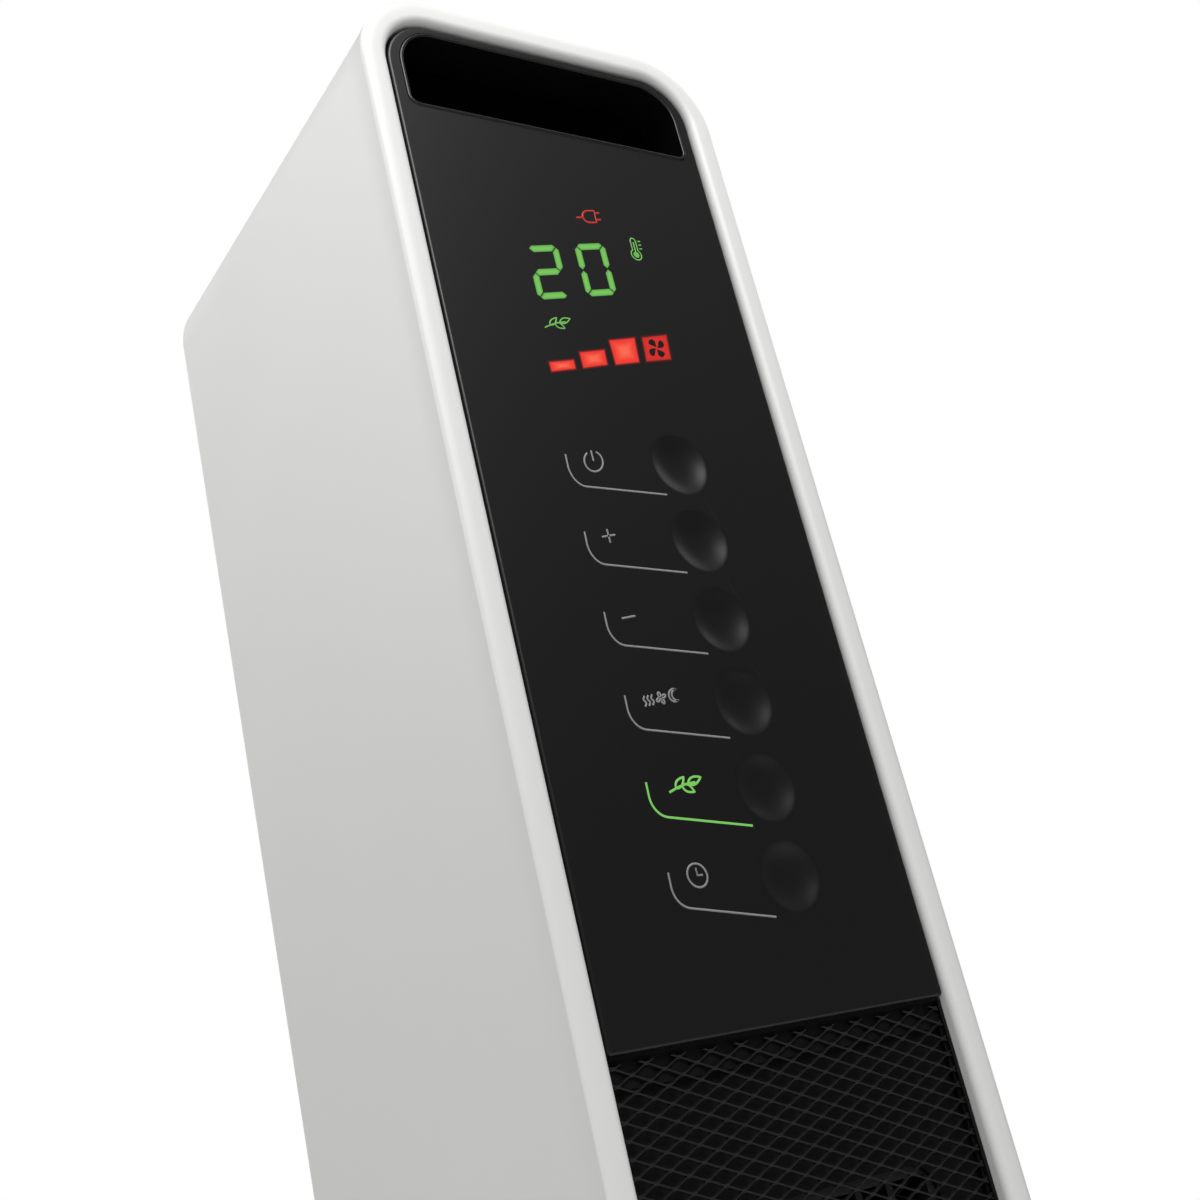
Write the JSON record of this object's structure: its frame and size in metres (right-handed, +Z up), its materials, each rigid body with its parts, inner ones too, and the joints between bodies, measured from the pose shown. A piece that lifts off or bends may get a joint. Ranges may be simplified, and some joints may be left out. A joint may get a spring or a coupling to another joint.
{
  "type": "ceramic tower heater",
  "caption": "Slim standing fan heater: white sleeve, dark front with grip opening, lit display, dished push keys and an expanded-metal hot air grille.",
  "frame": {"origin": "centre of the footprint on the floor", "axes": "X is the width, the front with its panel and grille looks along -Y, +Z is up"},
  "size_m": [0.149, 0.19, 0.62],
  "materials": {
    "white_plastic": "satin",
    "black_plastic": "fine grain",
    "panel_plastic": "satin",
    "grey_plastic": "moulded",
    "red_plastic": "gloss",
    "blue_plastic": "gloss",
    "board": "glass-fibre laminate",
    "ceramic": "fired, in a glazed sleeve",
    "filter_cloth": "woven screen",
    "rubber": "matt",
    "grey_ink": "pad-printed ink",
    "green_light": "lit from behind",
    "red_light": "lit from behind",
    "dark_metal": "black coat",
    "motor_paint": "zinc",
    "steel": "bright zinc",
    "black_steel": "black zinc",
    "aluminium": "mill",
    "brass": "bright",
    "bronze": "sintered"
  },
  "bodies": {
    "housing": {"outer_shell": "white_plastic", "front_frame": "black_plastic", "control_panel": "panel_plastic", "handle_pocket": "black_plastic", "display_module": "black_plastic", "control_board": "board", "tact_switches": "black_plastic", "front_mesh": "dark_metal", "outlet_baffle": "dark_metal", "heater_frame": "black_plastic", "heater_fins": "aluminium", "heater_stones": "ceramic", "heater_terminals": "brass", "thermal_cutout": "steel", "fan_casing": "grey_plastic", "casing_lid": "grey_plastic", "shaft_bush": "bronze", "fan_motor": "motor_paint", "motor_dampers": "rubber", "rear_cover": "black_plastic", "dust_filter": "filter_cloth", "switch_body": "black_plastic", "cord_grommet": "rubber", "power_board": "board", "relays": "blue_plastic", "heat_sink": "aluminium", "room_sensor": "black_plastic", "foot_plate": "black_plastic", "rubber_feet": "rubber", "tip_switch": "white_plastic", "frame_screws": "steel", "casing_screws": "steel", "motor_screws": "steel", "board_screws": "steel", "power_screws": "steel", "cover_screws": "black_steel", "foot_screws": "steel"},
    "rotor": {"blower_wheel": "grey_plastic", "wheel_hub": "rubber", "motor_shaft": "steel", "stub_axle": "steel"},
    "rocker": {"switch_rocker": "red_plastic"},
    "key_power_cap": {"key_power": "panel_plastic"},
    "key_plus_cap": {"key_plus": "panel_plastic"},
    "key_minus_cap": {"key_minus": "panel_plastic"},
    "key_mode_cap": {"key_mode": "panel_plastic"},
    "key_eco_cap": {"key_eco": "panel_plastic"},
    "key_timer_cap": {"key_timer": "panel_plastic"}
  },
  "joints": [
    {"name": "rotor_spin", "type": "hinge", "parent": "housing", "child": "rotor", "pos_m": [0, 0.001, 0.12], "axis": [0, 0, 1], "continuous": true},
    {"name": "key_power_press", "type": "slide", "parent": "housing", "child": "key_power_cap", "axis": [0, 1, 0], "range_m": [0, 0.0008], "stiffness_N_per_m": 600, "springref_m": -0.0008},
    {"name": "key_plus_press", "type": "slide", "parent": "housing", "child": "key_plus_cap", "axis": [0, 1, 0], "range_m": [0, 0.0008], "stiffness_N_per_m": 600, "springref_m": -0.0008},
    {"name": "key_minus_press", "type": "slide", "parent": "housing", "child": "key_minus_cap", "axis": [0, 1, 0], "range_m": [0, 0.0008], "stiffness_N_per_m": 600, "springref_m": -0.0008},
    {"name": "key_mode_press", "type": "slide", "parent": "housing", "child": "key_mode_cap", "axis": [0, 1, 0], "range_m": [0, 0.0008], "stiffness_N_per_m": 600, "springref_m": -0.0008},
    {"name": "key_eco_press", "type": "slide", "parent": "housing", "child": "key_eco_cap", "axis": [0, 1, 0], "range_m": [0, 0.0008], "stiffness_N_per_m": 600, "springref_m": -0.0008},
    {"name": "key_timer_press", "type": "slide", "parent": "housing", "child": "key_timer_cap", "axis": [0, 1, 0], "range_m": [0, 0.0008], "stiffness_N_per_m": 600, "springref_m": -0.0008},
    {"name": "rocker_tip", "type": "hinge", "parent": "housing", "child": "rocker", "pos_m": [0.03, 0.089, 0.273], "axis": [0, 0, 1], "range_deg": [0, 20]}
  ]
}
